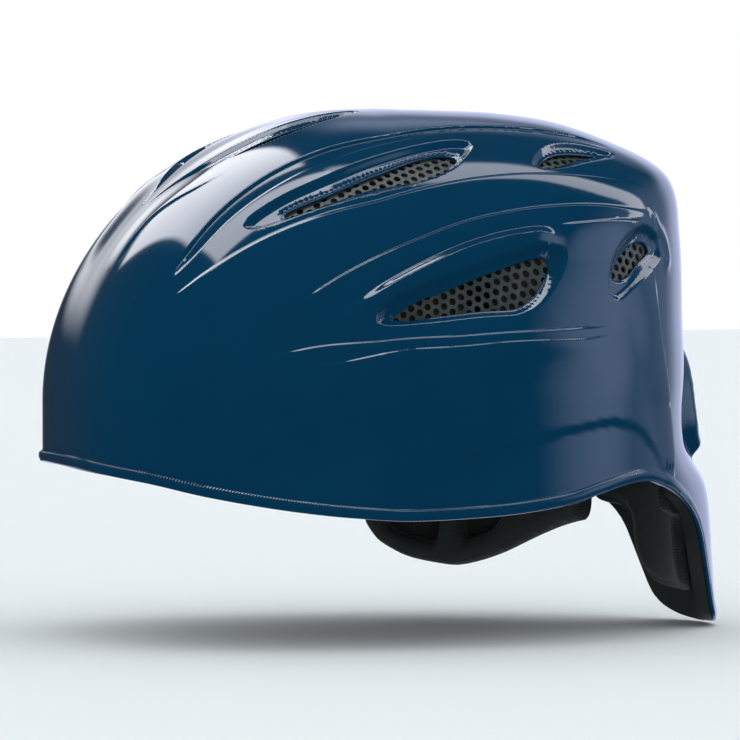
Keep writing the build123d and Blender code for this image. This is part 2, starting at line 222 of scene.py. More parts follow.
def resample(poly, h, closed=True):
    P = np.asarray(poly, float)
    if closed:
        P = np.concatenate([P, P[:1]])
    d = np.concatenate([[0], np.cumsum(np.hypot(*np.diff(P, axis=0).T))])
    n = max(6 if closed else 2, int(round(d[-1] / h)))
    t = np.linspace(0, d[-1], n + 1)
    q = np.stack([np.interp(t, d, P[:, 0]), np.interp(t, d, P[:, 1])], -1)
    return q[:-1] if closed else q


def area2(P):
    x, y = P[:, 0], P[:, 1]
    return float(np.sum(x * np.roll(y, -1) - np.roll(x, -1) * y))


def grow(P, d):
    P = np.asarray(P, float)
    if area2(P) < 0:
        P = P[::-1]
    e1 = P - np.roll(P, 1, axis=0)
    e2 = np.roll(P, -1, axis=0) - P
    n1 = np.stack([e1[:, 1], -e1[:, 0]], -1) / np.maximum(np.linalg.norm(e1, axis=1), 1e-9)[:, None]
    n2 = np.stack([e2[:, 1], -e2[:, 0]], -1) / np.maximum(np.linalg.norm(e2, axis=1), 1e-9)[:, None]
    k = d / np.maximum(0.6, 1 + (n1 * n2).sum(1))
    return P + (n1 + n2) * k[:, None]


def inside(pts, poly):
    px, py = pts[:, 0], pts[:, 1]
    q = np.asarray(poly)
    x0, y0 = q[:, 0], q[:, 1]
    x1, y1 = np.roll(x0, -1), np.roll(y0, -1)
    res = np.zeros(len(px), bool)
    for i in range(len(q)):
        c = (y0[i] > py) != (y1[i] > py)
        if c.any():
            xx = (x1[i] - x0[i]) * (py - y0[i]) / (y1[i] - y0[i] + 1e-30) + x0[i]
            res ^= c & (px < xx)
    return res


def dist(pts, poly, closed=True):
    q = np.asarray(poly, float)
    best = np.full(len(pts), 1e9)
    for i in range(len(q) if closed else len(q) - 1):
        a, b = q[i], q[(i + 1) % len(q)]
        d = b - a
        t = np.clip(((pts - a) @ d) / max(d @ d, 1e-12), 0, 1)
        best = np.minimum(best, np.hypot(pts[:, 0] - a[0] - t * d[0], pts[:, 1] - a[1] - t * d[1]))
    return best


def along(pts, line):
    """signed distance to an open line (positive to its left) and how far along it, 0 to 1"""
    q = np.asarray(line, float)
    L = np.concatenate([[0], np.cumsum(np.hypot(*np.diff(q, axis=0).T))])
    best = np.full(len(pts), 1e9)
    sg = np.zeros(len(pts))
    at = np.zeros(len(pts))
    for i in range(len(q) - 1):
        a, b = q[i], q[i + 1]
        d = b - a
        t = np.clip(((pts - a) @ d) / max(d @ d, 1e-12), 0, 1)
        v = pts - a - t[:, None] * d
        r = np.hypot(v[:, 0], v[:, 1])
        better = r < best
        w = pts - a
        cr = d[0] * w[:, 1] - d[1] * w[:, 0]
        best = np.where(better, r, best)
        sg = np.where(better, np.sign(cr), sg)
        at = np.where(better, (L[i] + t * (L[i + 1] - L[i])) / L[-1], at)
    return best * sg, at


def sstep(x, a, b):
    t = np.clip((x - a) / (b - a), 0, 1)
    return t * t * (3 - 2 * t)


# ------------------------------------------------------------------ mesh builder
def make_object(name, verts, faces, smooth=True):
    me = bpy.data.meshes.new(name)
    me.from_pydata([tuple(v) for v in verts], [], [tuple(f) for f in faces])
    me.update()
    bm = bmesh.new()
    bm.from_mesh(me)
    bmesh.ops.recalc_face_normals(bm, faces=bm.faces)
    bm.to_mesh(me)
    bm.free()
    if smooth:
        me.polygons.foreach_set("use_smooth", [True] * len(me.polygons))
    ob = bpy.data.objects.new(name, me)
    bpy.context.scene.collection.objects.link(ob)
    return ob


def hexgrid(poly, h):
    lo, hi = np.min(poly, axis=0), np.max(poly, axis=0)
    gy = np.arange(lo[1] + h * 0.5, hi[1], h * 0.866)
    gx = np.arange(lo[0] + h * 0.5, hi[0], h)
    X, Y = np.meshgrid(gx, gy)
    X = X + (np.arange(len(gy)) % 2)[:, None] * h / 2
    return np.stack([X.ravel(), Y.ravel()], -1)


def thin(pts, gap, others):
    """drop points that are closer than gap to one already kept"""
    cell = {}
    for q in others:
        for x, y in q:
            cell.setdefault((int(x // gap), int(y // gap)), []).append((x, y))
    keep = []
    for x, y in pts:
        cx, cy = int(x // gap), int(y // gap)
        bad = False
        for i in (-1, 0, 1):
            for j in (-1, 0, 1):
                for a, b in cell.get((cx + i, cy + j), ()):
                    if (a - x) ** 2 + (b - y) ** 2 < gap * gap:
                        bad = True
        if not bad:
            cell.setdefault((cx, cy), []).append((x, y))
            keep.append((x, y))
    return np.array(keep).reshape(-1, 2)


def triangulate(outline, holes, h, rings=(0.35,), extra=None, hole_rings=None):
    """points and triangles over an outline with holes, with rings of points beside each edge"""
    loops = [resample(outline, h)] + [resample(q, min(h, 1.2)) for q in holes]
    pts = [np.asarray(q) for q in loops]
    free = []
    hole_rings = rings if hole_rings is None else hole_rings
    for k, q in enumerate(loops):
        for r in (rings if k == 0 else hole_rings):
            g = resample(grow(q, -r if k == 0 else r), h * 0.9 if k == 0 else min(h, 1.2))
            free.append(g)
    grid = hexgrid(loops[0], h)
    rmax = max(rings) if rings else 0
    hmax = max(hole_rings) if hole_rings else 0
    ok = inside(grid, loops[0]) & (dist(grid, loops[0]) > rmax + 0.55 * h)
    for q in loops[1:]:
        near = (grid[:, 0] > q[:, 0].min() - 3) & (grid[:, 0] < q[:, 0].max() + 3) & (grid[:, 1] > q[:, 1].min() - 3) & (grid[:, 1] < q[:, 1].max() + 3)
        idx = np.nonzero(near & ok)[0]
        if len(idx):
            bad = inside(grid[idx], q) | (dist(grid[idx], q) < hmax + 0.45 * h)
            ok[idx[bad]] = False
    grid = grid[ok]
    if extra is not None and len(extra):
        ok = inside(extra, loops[0]) & (dist(extra, loops[0]) > rings[-1] + 0.5)
        for q in loops[1:]:
            near = (extra[:, 0] > q[:, 0].min() - 1) & (extra[:, 0] < q[:, 0].max() + 1) & (extra[:, 1] > q[:, 1].min() - 1) & (extra[:, 1] < q[:, 1].max() + 1)
            idx = np.nonzero(near & ok)[0]
            if len(idx):
                ok[idx[inside(extra[idx], q) | (dist(extra[idx], q) < hmax + 0.2)]] = False
        ex = thin(extra[ok], 0.2, [np.concatenate(free)])
        tree = KDTree(len(ex))
        for i, (x, y) in enumerate(ex):
            tree.insert((x, y, 0), i)
        tree.balance()
        far = np.array([tree.find((x, y, 0))[2] > 0.55 * h for x, y in grid])
        grid = grid[far]
        free.append(ex)
    free.append(grid)
    fr = np.concatenate(free) if free else np.zeros((0, 2))
    verts, edges, n = [], [], 0
    for q in pts:
        m = len(q)
        verts += [Vector((float(x), float(y))) for x, y in q]
        edges += [(n + i, n + (i + 1) % m) for i in range(m)]
        n += m
    verts += [Vector((float(x), float(y))) for x, y in fr]
    ov, oe, of_, _, _, _ = delaunay_2d_cdt(verts, edges, [], 0, 1e-5)
    V = np.array([(v.x, v.y) for v in ov])
    F = np.array([f for f in of_ if len(f) == 3])
    c = V[F].mean(axis=1)
    keep = inside(c, loops[0])
    for q in loops[1:]:
        near = (c[:, 0] > q[:, 0].min() - 1) & (c[:, 0] < q[:, 0].max() + 1) & (c[:, 1] > q[:, 1].min() - 1) & (c[:, 1] < q[:, 1].max() + 1)
        idx = np.nonzero(near & keep)[0]
        if len(idx):
            keep[idx[inside(c[idx], q)]] = False
    F = F[keep]
    used = np.unique(F)
    new = -np.ones(len(V), int)
    new[used] = np.arange(len(used))
    V, F = V[used], new[F]
    A = V[F]
    ar = (A[:, 1, 0] - A[:, 0, 0]) * (A[:, 2, 1] - A[:, 0, 1]) - (A[:, 2, 0] - A[:, 0, 0]) * (A[:, 1, 1] - A[:, 0, 1])
    F = np.where((ar > 0)[:, None], F, F[:, ::-1])
    return V, F


def boundary(F):
    seen = {}
    for t in F:
        for k in range(3):
            seen[(int(t[k]), int(t[(k + 1) % 3]))] = True
    return [(a, b) for (a, b) in seen if (b, a) not in seen]


def slab(name, outline, out, inn, holes=(), h=2.0, rings=(0.35,), flared=True, wall_n=1, bulge=0.0, top=None, smooth=True, tri=None):
    """closed piece between two layers. out and inn are offsets in mm, numbers or functions of the map points"""
    V, F = tri if tri is not None else triangulate(outline, list(holes), h, rings)
    fo = out(V) if callable(out) else np.full(len(V), float(out))
    fi = inn(V) if callable(inn) else np.full(len(V), float(inn))
    PO, PI = lift(V, fo, flared), lift(V, fi, flared)
    if top is not None:
        PO = top(V, PO)
    n = len(V)
    verts = [PO, PI]
    faces = [tuple(t) for t in F] + [tuple(int(i) + n for i in t[::-1]) for t in F]
    be = boundary(F)
    nxt = {a: b for a, b in be}
    bv = sorted({a for a, _ in be} | {b for _, b in be})
    prev = {b: a for a, b in be}
    rows = [{a: a for a in bv}]
    base = 2 * n
    if wall_n > 1:
        # outward direction in the map at each edge point
        idx = {a: i for i, a in enumerate(bv)}
        dirs = np.zeros((len(bv), 2))
        for a in bv:
            p, q = V[prev.get(a, a)], V[nxt.get(a, a)]
            d = q - p
            dirs[idx[a]] = np.array([d[1], -d[0]]) / max(np.hypot(*d), 1e-9)
        for k in range(1, wall_n):
            t = k / wall_n
            tt = 0.5 - 0.5 * cos(pi * t)
            bl = bulge * sin(pi * t)
            off = fo[bv] * (1 - tt) + fi[bv] * tt
            uv = V[bv] + dirs * bl * DEG_MM
            verts.append(lift(uv, off, flared))
            rows.append({a: base + idx[a] for a in bv})
            base += len(bv)
    rows.append({a: a + n for a in bv})
    for r0, r1 in zip(rows[:-1], rows[1:]):
        for a, b in be:
            faces.append((r0[b], r0[a], r1[a], r1[b]))
    return make_object(name, np.concatenate(verts) / 1000.0, faces, smooth)


def mirror(poly):
    P = np.asarray(poly, float)[::-1].copy()
    P[:, 0] *= -1
    return P


# ------------------------------------------------------------------ features of the shell, in the map (left side)
SIDE_VENT = catmull([(68.6, -12.4), (65.9, -6.4), (62.6, 5.0), (57.3, 17.2), (53.0, 25.2), (51.6, 28.6), (52.3, 30.6), (58.3, 29.4), (62.1, 26.8),
                     (64.8, 23.2), (67.1, 14.6), (69.4, 1.3), (69.9, -9.0)], 5)
UPPER_VENT = catmull([(40.4, -30.2), (39.2, -19.5), (35.6, -7.5), (31.6, 1.6), (30.0, 8.6), (31.4, 11.2), (34.6, 8.8), (37.6, 3.8), (39.2, -3.5), (40.3, -11.0),
                      (41.9, -20.5), (41.8, -29.3)], 5)
REAR_TOP_VENT = catmull([(31.0, 27.0), (27.6, 28.6), (25.0, 31.2), (22.4, 35.6), (20.9, 39.2), (25.4, 35.2), (31.0, 29.2)], 5)
REAR_SIDE_VENT = catmull([(47.3, 45.9), (44.1, 45.4), (39.7, 46.5), (36.6, 48.2), (34.0, 51.2), (34.2, 52.9), (38.8, 51.6), (45.0, 49.3)], 5)
INNER_VENT = catmull([(8.6, -5.6), (12.6, -11.5), (15.9, -18.4), (16.8, -26.1), (15.6, -31), (13.2, -35), (10.8, -31.5), (10.4, -26), (9.8, -19), (8.6, -13), (7.4, -7.4)], 4)

SIDE_RECESS = chaikin([(70.9, -17.0), (66.5, -16.5), (64.2, -9.0), (61.0, 3.5), (56.0, 15.5), (51.0, 25.0), (48.8, 31.6), (50.3, 33.6), (55.8, 32.6), (61.4, 30.0), (65.2, 26.2),
                       (67.6, 21.0), (71.6, 1.2)], 2)
UPPER_RECESS = chaikin([(38.2, -38.8), (37.2, -30.0), (36.2, -19.0), (32.4, -7.0), (28.6, 2.5), (26.2, 11.6), (27.8, 15.0), (32.0, 12.6), (36.6, 8.6), (40.2, 0.5), (41.9, -9.0), (43.2, -20.0),
                        (43.0, -31.0), (41.4, -36.8)], 2)
REAR_TOP_RECESS = chaikin([(33.4, 24.4), (28.0, 26.0), (23.6, 29.4), (20.6, 34.6), (18.6, 41.0), (20.6, 42.0), (26.2, 37.0), (32.0, 30.6)], 2)
REAR_SIDE_RECESS = chaikin([(50.8, 44.2), (44.5, 43.2), (39.0, 44.6), (34.6, 46.8), (31.2, 51.4), (32.0, 55.4), (35.6, 55.2), (41.0, 53.2), (47.2, 50.8), (51.6, 48.4)], 2)
INNER_RECESS = chaikin([(0.8, -50.8), (4.6, -44.8), (12.4, -37.6), (16.8, -32), (18.4, -26), (17.4, -17.6), (13.8, -9.4), (8.6, -2.6), (5.6, -4.0), (6.8, -13), (7.8, -19.5),
                        (8.4, -27), (7.0, -35), (3.2, -43)], 2)
VENTS = {}
for nm, q in (("inner_vent", INNER_VENT), ("upper_vent", UPPER_VENT), ("side_vent", SIDE_VENT), ("rear_top_vent", REAR_TOP_VENT), ("rear_side_vent", REAR_SIDE_VENT)):
    VENTS["left_" + nm] = q
    VENTS["right_" + nm] = mirror(q)

# lines of the shell: (points, height mm, rise width, fade width, which side is high)
C1 = catmull([(13.6, -64.5), (13.2, -56.4), (13.8, -50.8), (16.2, -46.6), (20.0, -41.0), (22.0, -34.0)], 6, False)
N2_IN = catmull([(36.0, -57.0), (34.8, -51.5), (32.6, -42.1), (30.6, -30.5), (28.9, -20.1), (26.0, -6.2), (22.8, 3.4), (20.6, 13.1), (19.2, 22.3), (17.6, 31.0), (15.9, 42.0)], 6, False)
N2_OUT = catmull([(36.0, -57.0), (36.9, -49.6), (35.4, -38.8), (33.7, -26.9), (31.4, -15.3), (28.3, -5.3), (25.0, 4.5), (22.8, 14.5), (21.2, 24.3), (19.4, 32.6), (18.0, 41.3)], 6, False)
C2 = catmull([(38.2, -61.0), (40.9, -54.0), (43.3, -42.9), (44.6, -30.1), (44.8, -20.7), (44.2, -10.3), (41.6, 0.5), (38.9, 11.0), (36.3, 20.6), (33.4, 30.0), (29.9, 38.9),
              (27.0, 45.1), (23.4, 51.2)], 6, False)
D = catmull([(59.8, -37.0), (58.4, -25.9), (56.5, -15.3), (53.2, -2.9), (49.1, 8.9), (44.4, 21.9), (39.6, 33.4), (34.7, 43.0), (28.6, 51.2)], 6, False)
DL = catmull([(47.6, 25.4), (42.6, 35.4), (36.4, 44.3), (30.3, 50.3)], 6, False)
SVLIP = catmull([(66.6, -31.8), (65.2, -25.1), (63.0, -15.3), (59.2, -3.0), (54.4, 9.4), (50.1, 20.4), (47.6, 27.6), (47.4, 32.3)], 6, False)
E1 = catmull([(63.6, -50.1), (66.2, -42.6), (69.0, -33.7), (71.6, -24.6), (73.4, -14.1), (73.4, 7.9), (67.9, 28.9), (60.4, 43.4), (53.5, 51.9)], 6, False)
E2 = catmull([(71.6, -38.4), (74.6, -27.8), (76.1, -12.0), (75.6, 8.0), (69.8, 29.6), (62.2, 44.3), (54.6, 52.8)], 6, False)
ARCH = catmull([(104.4, -31.1), (101.6, -8.0), (97.5, 14.4), (88.9, 35.8), (78.9, 50.8), (69.8, 61.5), (63.4, 71.2), (59.2, 81.9), (56.5, 92.7)], 6, False)
KL = catmull([(36.6, 53.4), (41.4, 59.4), (45.0, 65.8), (46.8, 73.0), (47.8, 80.9), (49.6, 87.6), (52.5, 92.6)], 6, False)
RSR = catmull([(29.4, 47.6), (30.6, 51.2), (30.0, 54.4), (31.2, 57.4), (35.0, 57.4)], 6, False)


def crease(p, line, height, rise, fade, high=1, ends=(0.12, 0.12), straight=0.0):
    """a step that climbs by height within rise degrees on one side of a line, and fades away over fade degrees"""
    s, t = along(p, line)
    s = s * high
    up = sstep(s, -rise * 0.5, rise * 0.5) * (1 - straight) + np.clip(s / rise + 0.5, 0, 1) * straight
    down = 1 - sstep(s, rise * 0.5, fade)
    e = sstep(t, 0.0, ends[0]) * (1 - sstep(t, 1 - ends[1], 1.0)) if ends else 1.0
    tip = np.where((t <= 1e-6) | (t >= 1 - 1e-6), 0.0, 1.0)
    return height * up * down * e * tip


def ridge(p, line, height, width, ends=(0.15, 0.15)):
    s, t = along(p, line)
    e = sstep(t, 0.0, ends[0]) * (1 - sstep(t, 1 - ends[1], 1.0))
    return height * np.exp(-(s / width) ** 2) * e


def pocket(p, poly, depth, width):
    d = dist(p, poly)
    ins = inside(p, poly)
    return np.where(ins, -depth * sstep(d, -0.15, width), 0.0)


R_C1, R_C2, R_D, R_LIP, R_E = 0.8, 0.9, 0.75, 1.7, 0.7


def relief(V):
    """how far the outer face stands from the base surface, mm; the same on both sides"""
    p = V.copy()
    p[:, 0] = np.abs(p[:, 0])
    r = np.hypot(p[:, 0], p[:, 1])
    z = np.zeros(len(p))
    dome = r < 112
    q = p[dome]
    f = np.zeros(len(q))
    f += crease(q, C1, 0.8, R_C1, 9.0, 1, (0.25, 0.3))
    f += crease(q, C2, 0.95, R_C2, 9.0, -1, (0.1, 0.25))
    s1, t1 = along(q, N2_IN)
    s2, t2 = along(q, N2_OUT)
    band = sstep(-s1, -0.35, 0.35) * sstep(s2, -0.35, 0.35)
    taper = sstep(q[:, 1], -57.0, -48.0) * (1 - sstep(q[:, 1], 30.0, 42.0))
    f -= 1.2 * band * taper
    f += crease(q, D, 1.05, R_D, 11.0, -1, (0.16, 0.18))
    f += crease(q, DL, 0.8, 1.0, 7.0, -1, (0.3, 0.3))
    f += crease(q, SVLIP, 2.7, R_LIP, 6.5, -1, (0.35, 0.12), 0.7)
    f += crease(q, E1, 0.9, R_E, 7.0, -1, (0.16, 0.2))
    f += crease(q, E2, 0.9, R_E, 9.0, -1, (0.16, 0.2))
    f += crease(q, KL, 1.3, 1.4, 12.0, -1, (0.25, 0.15))
    f += ridge(q, RSR, 0.9, 0.9, (0.25, 0.25))
    f += crease(q, ARCH, 0.7, 2.6, 16.0, 1, (0.3, 0.15))
    f += pocket(q, SIDE_RECESS, 3.0, 2.2)
    f += pocket(q, UPPER_RECESS, 2.3, 1.5)
    f += pocket(q, REAR_TOP_RECESS, 2.0, 1.5)
    f += pocket(q, REAR_SIDE_RECESS, 2.3, 1.6)
    f += pocket(q, INNER_RECESS, 2.2, 1.6)
    z[dome] = f
    return z


LIP_H, LIP_T = 4.0, 1.5


def lip(V):
    """rolled lip along the rim"""
    d = dist(V, RIM) / DEG_MM
    return LIP_T * (1 - sstep(d, 3.1, 4.1)) * (0.62 + 0.38 * sstep(d, 0.0, 1.4))


angs = np.radians(np.concatenate([np.arange(0, 50, 1.0), np.arange(50, 130, 0.5), np.arange(130, 360, 1.0)]))
rr = rim_r(angs, 0.0)
RIM = resample(chaikin(np.stack([rr * np.cos(angs), rr * np.sin(angs)], -1), 2), 1.2)


# ------------------------------------------------------------------ materials
def new_mat(name):
    m = bpy.data.materials.new(name)
    m.use_nodes = True
    nt = m.node_tree
    for n in list(nt.nodes):
        if n.type != "OUTPUT_MATERIAL":
            nt.nodes.remove(n)
    out = [n for n in nt.nodes if n.type == "OUTPUT_MATERIAL"][0]
    b = nt.nodes.new("ShaderNodeBsdfPrincipled")
    nt.links.new(b.outputs[0], out.inputs[0])
    return m, nt, b


def coords(nt, scale=1.0):
    tc = nt.nodes.new("ShaderNodeTexCoord")
    mp = nt.nodes.new("ShaderNodeMapping")
    mp.inputs["Scale"].default_value = (scale, scale, scale)
    nt.links.new(tc.outputs["Object"], mp.inputs[0])
    return mp.outputs[0]


def noise(nt, vec, scale, detail=3.0, rough=0.5):
    n = nt.nodes.new("ShaderNodeTexNoise")
    n.inputs["Scale"].default_value = scale
    n.inputs["Detail"].default_value = detail
    n.inputs["Roughness"].default_value = rough
    nt.links.new(vec, n.inputs["Vector"])
    return n.outputs["Fac"]


def ramp(nt, fac, stops):
    r = nt.nodes.new("ShaderNodeValToRGB")
    el = r.color_ramp.elements
    el[0].position, el[0].color = stops[0][0], stops[0][1]
    el[1].position, el[1].color = stops[-1][0], stops[-1][1]
    for p, c in stops[1:-1]:
        e = el.new(p)
        e.color = c
    nt.links.new(fac, r.inputs[0])
    return r.outputs[0]


def bump(nt, height, strength, distance, prev=None):
    b = nt.nodes.new("ShaderNodeBump")
    b.inputs["Strength"].default_value = strength
    b.inputs["Distance"].default_value = distance
    nt.links.new(height, b.inputs["Height"])
    if prev is not None:
        nt.links.new(prev, b.inputs["Normal"])
    return b.outputs[0]


def math_node(nt, op, a, b=None, c=None):
    m = nt.nodes.new("ShaderNodeMath")
    m.operation = op
    for i, x in enumerate((a, b, c)):
        if x is None:
            continue
        if isinstance(x, (int, float)):
            m.inputs[i].default_value = x
        else:
            nt.links.new(x, m.inputs[i])
    return m.outputs[0]


def shell_material():
    m, nt, b = new_mat("navy_gloss_shell")
    v = coords(nt)
    n = noise(nt, v, 22.0, 2.0)
    col = ramp(nt, n, [(0.3, (0.0001, 0.0430, 0.1020, 1)), (0.7, (0.0002, 0.0480, 0.1120, 1))])
    nt.links.new(col, b.inputs["Base Color"])
    fine = noise(nt, v, 900.0, 4.0)
    rg = nt.nodes.new("ShaderNodeMapRange")
    rg.inputs["To Min"].default_value = 0.10
    rg.inputs["To Max"].default_value = 0.17
    nt.links.new(noise(nt, v, 60.0, 5.0), rg.inputs[0])
    nt.links.new(rg.outputs[0], b.inputs["Roughness"])
    b.inputs["IOR"].default_value = 1.5
    b.inputs["Specular IOR Level"].default_value = 0.06
    b.inputs["Coat Weight"].default_value = 1.0
    b.inputs["Coat Roughness"].default_value = 0.025
    b.inputs["Coat IOR"].default_value = 1.5
    nt.links.new(bump(nt, fine, 0.02, 0.0002), b.inputs["Normal"])
    return m


def mesh_material():
    m, nt, b = new_mat("black_vent_mesh")
    v = coords(nt)
    col = ramp(nt, noise(nt, v, 160.0, 4.0), [(0.3, (0.030, 0.040, 0.038, 1)), (0.7, (0.062, 0.075, 0.072, 1))])
    nt.links.new(col, b.inputs["Base Color"])
    b.inputs["Roughness"].default_value = 0.38
    nt.links.new(bump(nt, noise(nt, v, 1400.0, 3.0), 0.35, 0.0003), b.inputs["Normal"])
    return m


def foam_material():
    m, nt, b = new_mat("black_bead_foam")
    v = coords(nt)
    vo = nt.nodes.new("ShaderNodeTexVoronoi")
    vo.inputs["Scale"].default_value = 330.0
    nt.links.new(v, vo.inputs["Vector"])
    col = ramp(nt, vo.outputs["Distance"], [(0.0, (0.009, 0.011, 0.011, 1)), (0.75, (0.003, 0.004, 0.004, 1))])
    nt.links.new(col, b.inputs["Base Color"])
    b.inputs["Roughness"].default_value = 0.72
    inv = math_node(nt, "SUBTRACT", 1.0, vo.outputs["Distance"])
    nt.links.new(bump(nt, inv, 0.5, 0.0006), b.inputs["Normal"])
    return m


def eva_material():
    m, nt, b = new_mat("black_cell_foam")
    v = coords(nt)
    col = ramp(nt, noise(nt, v, 45.0, 4.0), [(0.3, (0.013, 0.019, 0.019, 1)), (0.7, (0.022, 0.030, 0.030, 1))])
    nt.links.new(col, b.inputs["Base Color"])
    b.inputs["Roughness"].default_value = 0.62
    nt.links.new(bump(nt, noise(nt, v, 1100.0, 4.0), 0.3, 0.0003), b.inputs["Normal"])
    return m


def knit_material(name, lo, hi, scale=1250.0, strength=0.5):
    m, nt, b = new_mat(name)
    v = coords(nt)
    sep = nt.nodes.new("ShaderNodeSeparateXYZ")
    nt.links.new(v, sep.inputs[0])
    # a weave without UVs: two crossed waves, one round the head and one up and down
    ang = math_node(nt, "ARCTAN2", sep.outputs["Y"], sep.outputs["X"])
    a = math_node(nt, "SINE", math_node(nt, "MULTIPLY", ang, 0.1 * scale * 2.0))
    zz = math_node(nt, "SINE", math_node(nt, "MULTIPLY", sep.outputs["Z"], scale * 4.2))
    weave = math_node(nt, "MULTIPLY", a, zz)
    weave01 = math_node(nt, "MULTIPLY_ADD", weave, 0.5, 0.5)
    mixn = math_node(nt, "ADD", math_node(nt, "MULTIPLY", weave01, 0.55), math_node(nt, "MULTIPLY", noise(nt, v, 320.0, 4.0), 0.45))
    col = ramp(nt, mixn, [(0.2, lo), (0.8, hi)])
    nt.links.new(col, b.inputs["Base Color"])
    b.inputs["Roughness"].default_value = 0.85
    b.inputs["Sheen Weight"].default_value = 0.15
    b.inputs["Sheen Roughness"].default_value = 0.5
    nt.links.new(bump(nt, mixn, strength, 0.0004), b.inputs["Normal"])
    return m


MAT = {
    "shell": shell_material(),
    "vent_mesh": mesh_material(),
    "impact_foam": foam_material(),
    "nape_foam": eva_material(),
    "pad_cover": knit_material("black_knit_cover", (0.007, 0.011, 0.011, 1), (0.026, 0.034, 0.034, 1)),
    "hook_tape": knit_material("black_hook_tape", (0.004, 0.004, 0.004, 1), (0.022, 0.022, 0.022, 1), 1700.0, 0.9),
    "loop_backing": knit_material("black_loop_backing", (0.008, 0.008, 0.008, 1), (0.026, 0.027, 0.027, 1), 1500.0, 0.8),
}


def dress(ob, slot, body="helmet", reps=()):
    ob.data.materials.clear()
    ob.data.materials.append(MAT[slot])
    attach(ob, body)
    if reps:
        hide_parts(*reps)
    return ob


# ------------------------------------------------------------------ shell
H = 1.15


def feature_points():
    """rows of points along every line and recess edge, so that they come out crisp"""
    rows = []
    w5 = (-2.2, -1.6, -1.05, -0.65, -0.38, -0.12, 0.12, 0.38, 0.65, 1.05, 1.6, 2.2)
    for line, offs in ((C1, w5), (C2, w5), (D, w5), (N2_IN, (-0.9, -0.35, -0.1, 0.1, 0.35, 0.7, 1.2)), (N2_OUT, (-0.7, -0.35, -0.1, 0.1, 0.35, 0.7, 1.2, 1.8)),
                       (SVLIP, (-2.2, -1.5, -1.05, -0.85, -0.6, -0.3, 0.0, 0.3, 0.6, 0.85, 1.1, 1.7)), (E1, w5), (E2, w5),
                       (DL, (-0.5, 0.0, 0.5)), (KL, (-0.7, -0.25, 0.25, 0.7)), (RSR, (-0.6, 0.0, 0.6))):
        g = resample(line, 0.7, False)
        t = np.gradient(g, axis=0)
        t /= np.maximum(np.linalg.norm(t, axis=1), 1e-9)[:, None]
        nrm = np.stack([-t[:, 1], t[:, 0]], -1)
        rows += [g + nrm * o for o in offs]
    for poly, wid in ((SIDE_RECESS, 2.2), (UPPER_RECESS, 1.5), (REAR_TOP_RECESS, 1.5), (REAR_SIDE_RECESS, 1.6), (INNER_RECESS, 1.6)):
        g = resample(poly, 0.8)
        rows += [resample(grow(g, o), 0.8) for o in (0.35, 0.1, -0.15, -0.3 * wid, -0.55 * wid, -0.8 * wid, -wid)]
    P = np.concatenate(rows)
    P = P[P[:, 0] > -0.2]
    P[:, 0] = np.abs(P[:, 0])
    M = P.copy()
    M[:, 0] *= -1
    return np.concatenate([P, M])


shell_tri = triangulate(RIM, [q for q in VENTS.values()], H, rings=(0.3, 0.7, 1.1, 1.45, 1.65, 1.85, 2.05, 2.3, 2.8), extra=feature_points(), hole_rings=(0.25, 0.55))
REL = relief(shell_tri[0])


def thinned(V):
    """the shell's inner face runs out to a thin edge along the nape, where the foam covers it"""
    a = np.degrees(np.arctan2(V[:, 1], np.abs(V[:, 0])))
    d = dist(V, RIM) / DEG_MM
    return sstep(a, 55, 64) * (1 - sstep(d, 3.0, 8.0))


def shell_out(V):
    a = np.degrees(np.arctan2(V[:, 1], np.abs(V[:, 0])))
    f = relief(V) + lip(V) * (1 - 0.55 * sstep(a, 56, 66))
    return f


def shell_in(V):
    return np.minimum(relief(V), 0) * 0.4 - 3.0 + 1.9 * thinned(V)


def edge_dist(V):
    best = np.full(len(V), 1e9)
    for q in VENTS.values():
        lo, hi = q.min(0) - 3, q.max(0) + 3
        m = (V[:, 0] > lo[0]) & (V[:, 0] < hi[0]) & (V[:, 1] > lo[1]) & (V[:, 1] < hi[1])
        if m.any():
            best[m] = np.minimum(best[m], dist(V[m], q))
    return best


def shell_out2(V):
    e = edge_dist(V) / DEG_MM      # mm from a vent edge, about
    return shell_out(V) - 0.55 * np.clip(1 - e / 1.1, 0, 1) ** 2


shell = slab("shell_moulding", RIM, shell_out2, shell_in, tri=shell_tri, wall_n=5, bulge=0.7)


def true_normals(ob, V, fn, e=0.11):
    """shade the outer face with the normals of the surface itself, whatever the triangles are"""
    P0 = lift(V, fn(V))
    du = lift(V + (e, 0), fn(V + (e, 0))) - P0
    dv = lift(V + (0, e), fn(V + (0, e))) - P0
    n = np.cross(du, dv)
    n /= np.maximum(np.linalg.norm(n, axis=1), 1e-12)[:, None]
    n *= np.sign((n * P0).sum(1))[:, None]
    Q0 = lift(V, 0.0)
    b = np.cross(lift(V + (e, 0), 0.0) - Q0, lift(V + (0, e), 0.0) - Q0)
    b /= np.maximum(np.linalg.norm(b, axis=1), 1e-12)[:, None]
    b *= np.sign((b * Q0).sum(1))[:, None]
    n[((n * b).sum(1) < 0.55) | (np.abs(np.hypot(V[:, 0], V[:, 1]) - 90) < 0.2)] = 0.0      # leave very steep spots to the triangles
    al = np.zeros((len(ob.data.vertices), 3))
    al[:len(V)] = n
    ob.data.normals_split_custom_set_from_vertices([tuple(v) for v in al])


true_normals(shell, shell_tri[0], shell_out2)
dress(shell, "shell", reps=("outer_shell", "rim_lip"))

# ------------------------------------------------------------------ strap keeper on the centre back
KEEP = chaikin([to_map((x, 130, z)) for x, z in ((-24, 31), (24, 31), (25, 0), (25, -12), (21, -22), (15, -29), (-15, -29), (-21, -22), (-25, -12), (-25, 0))], 3)
keep_height = pchip([(-30, 3.0), (-27, 5.6), (-22, 8.8), (-18, 9.4), (-12, 9.2), (-2, 8.3), (14, 5.0), (22, 2.6), (32, 0.4)])


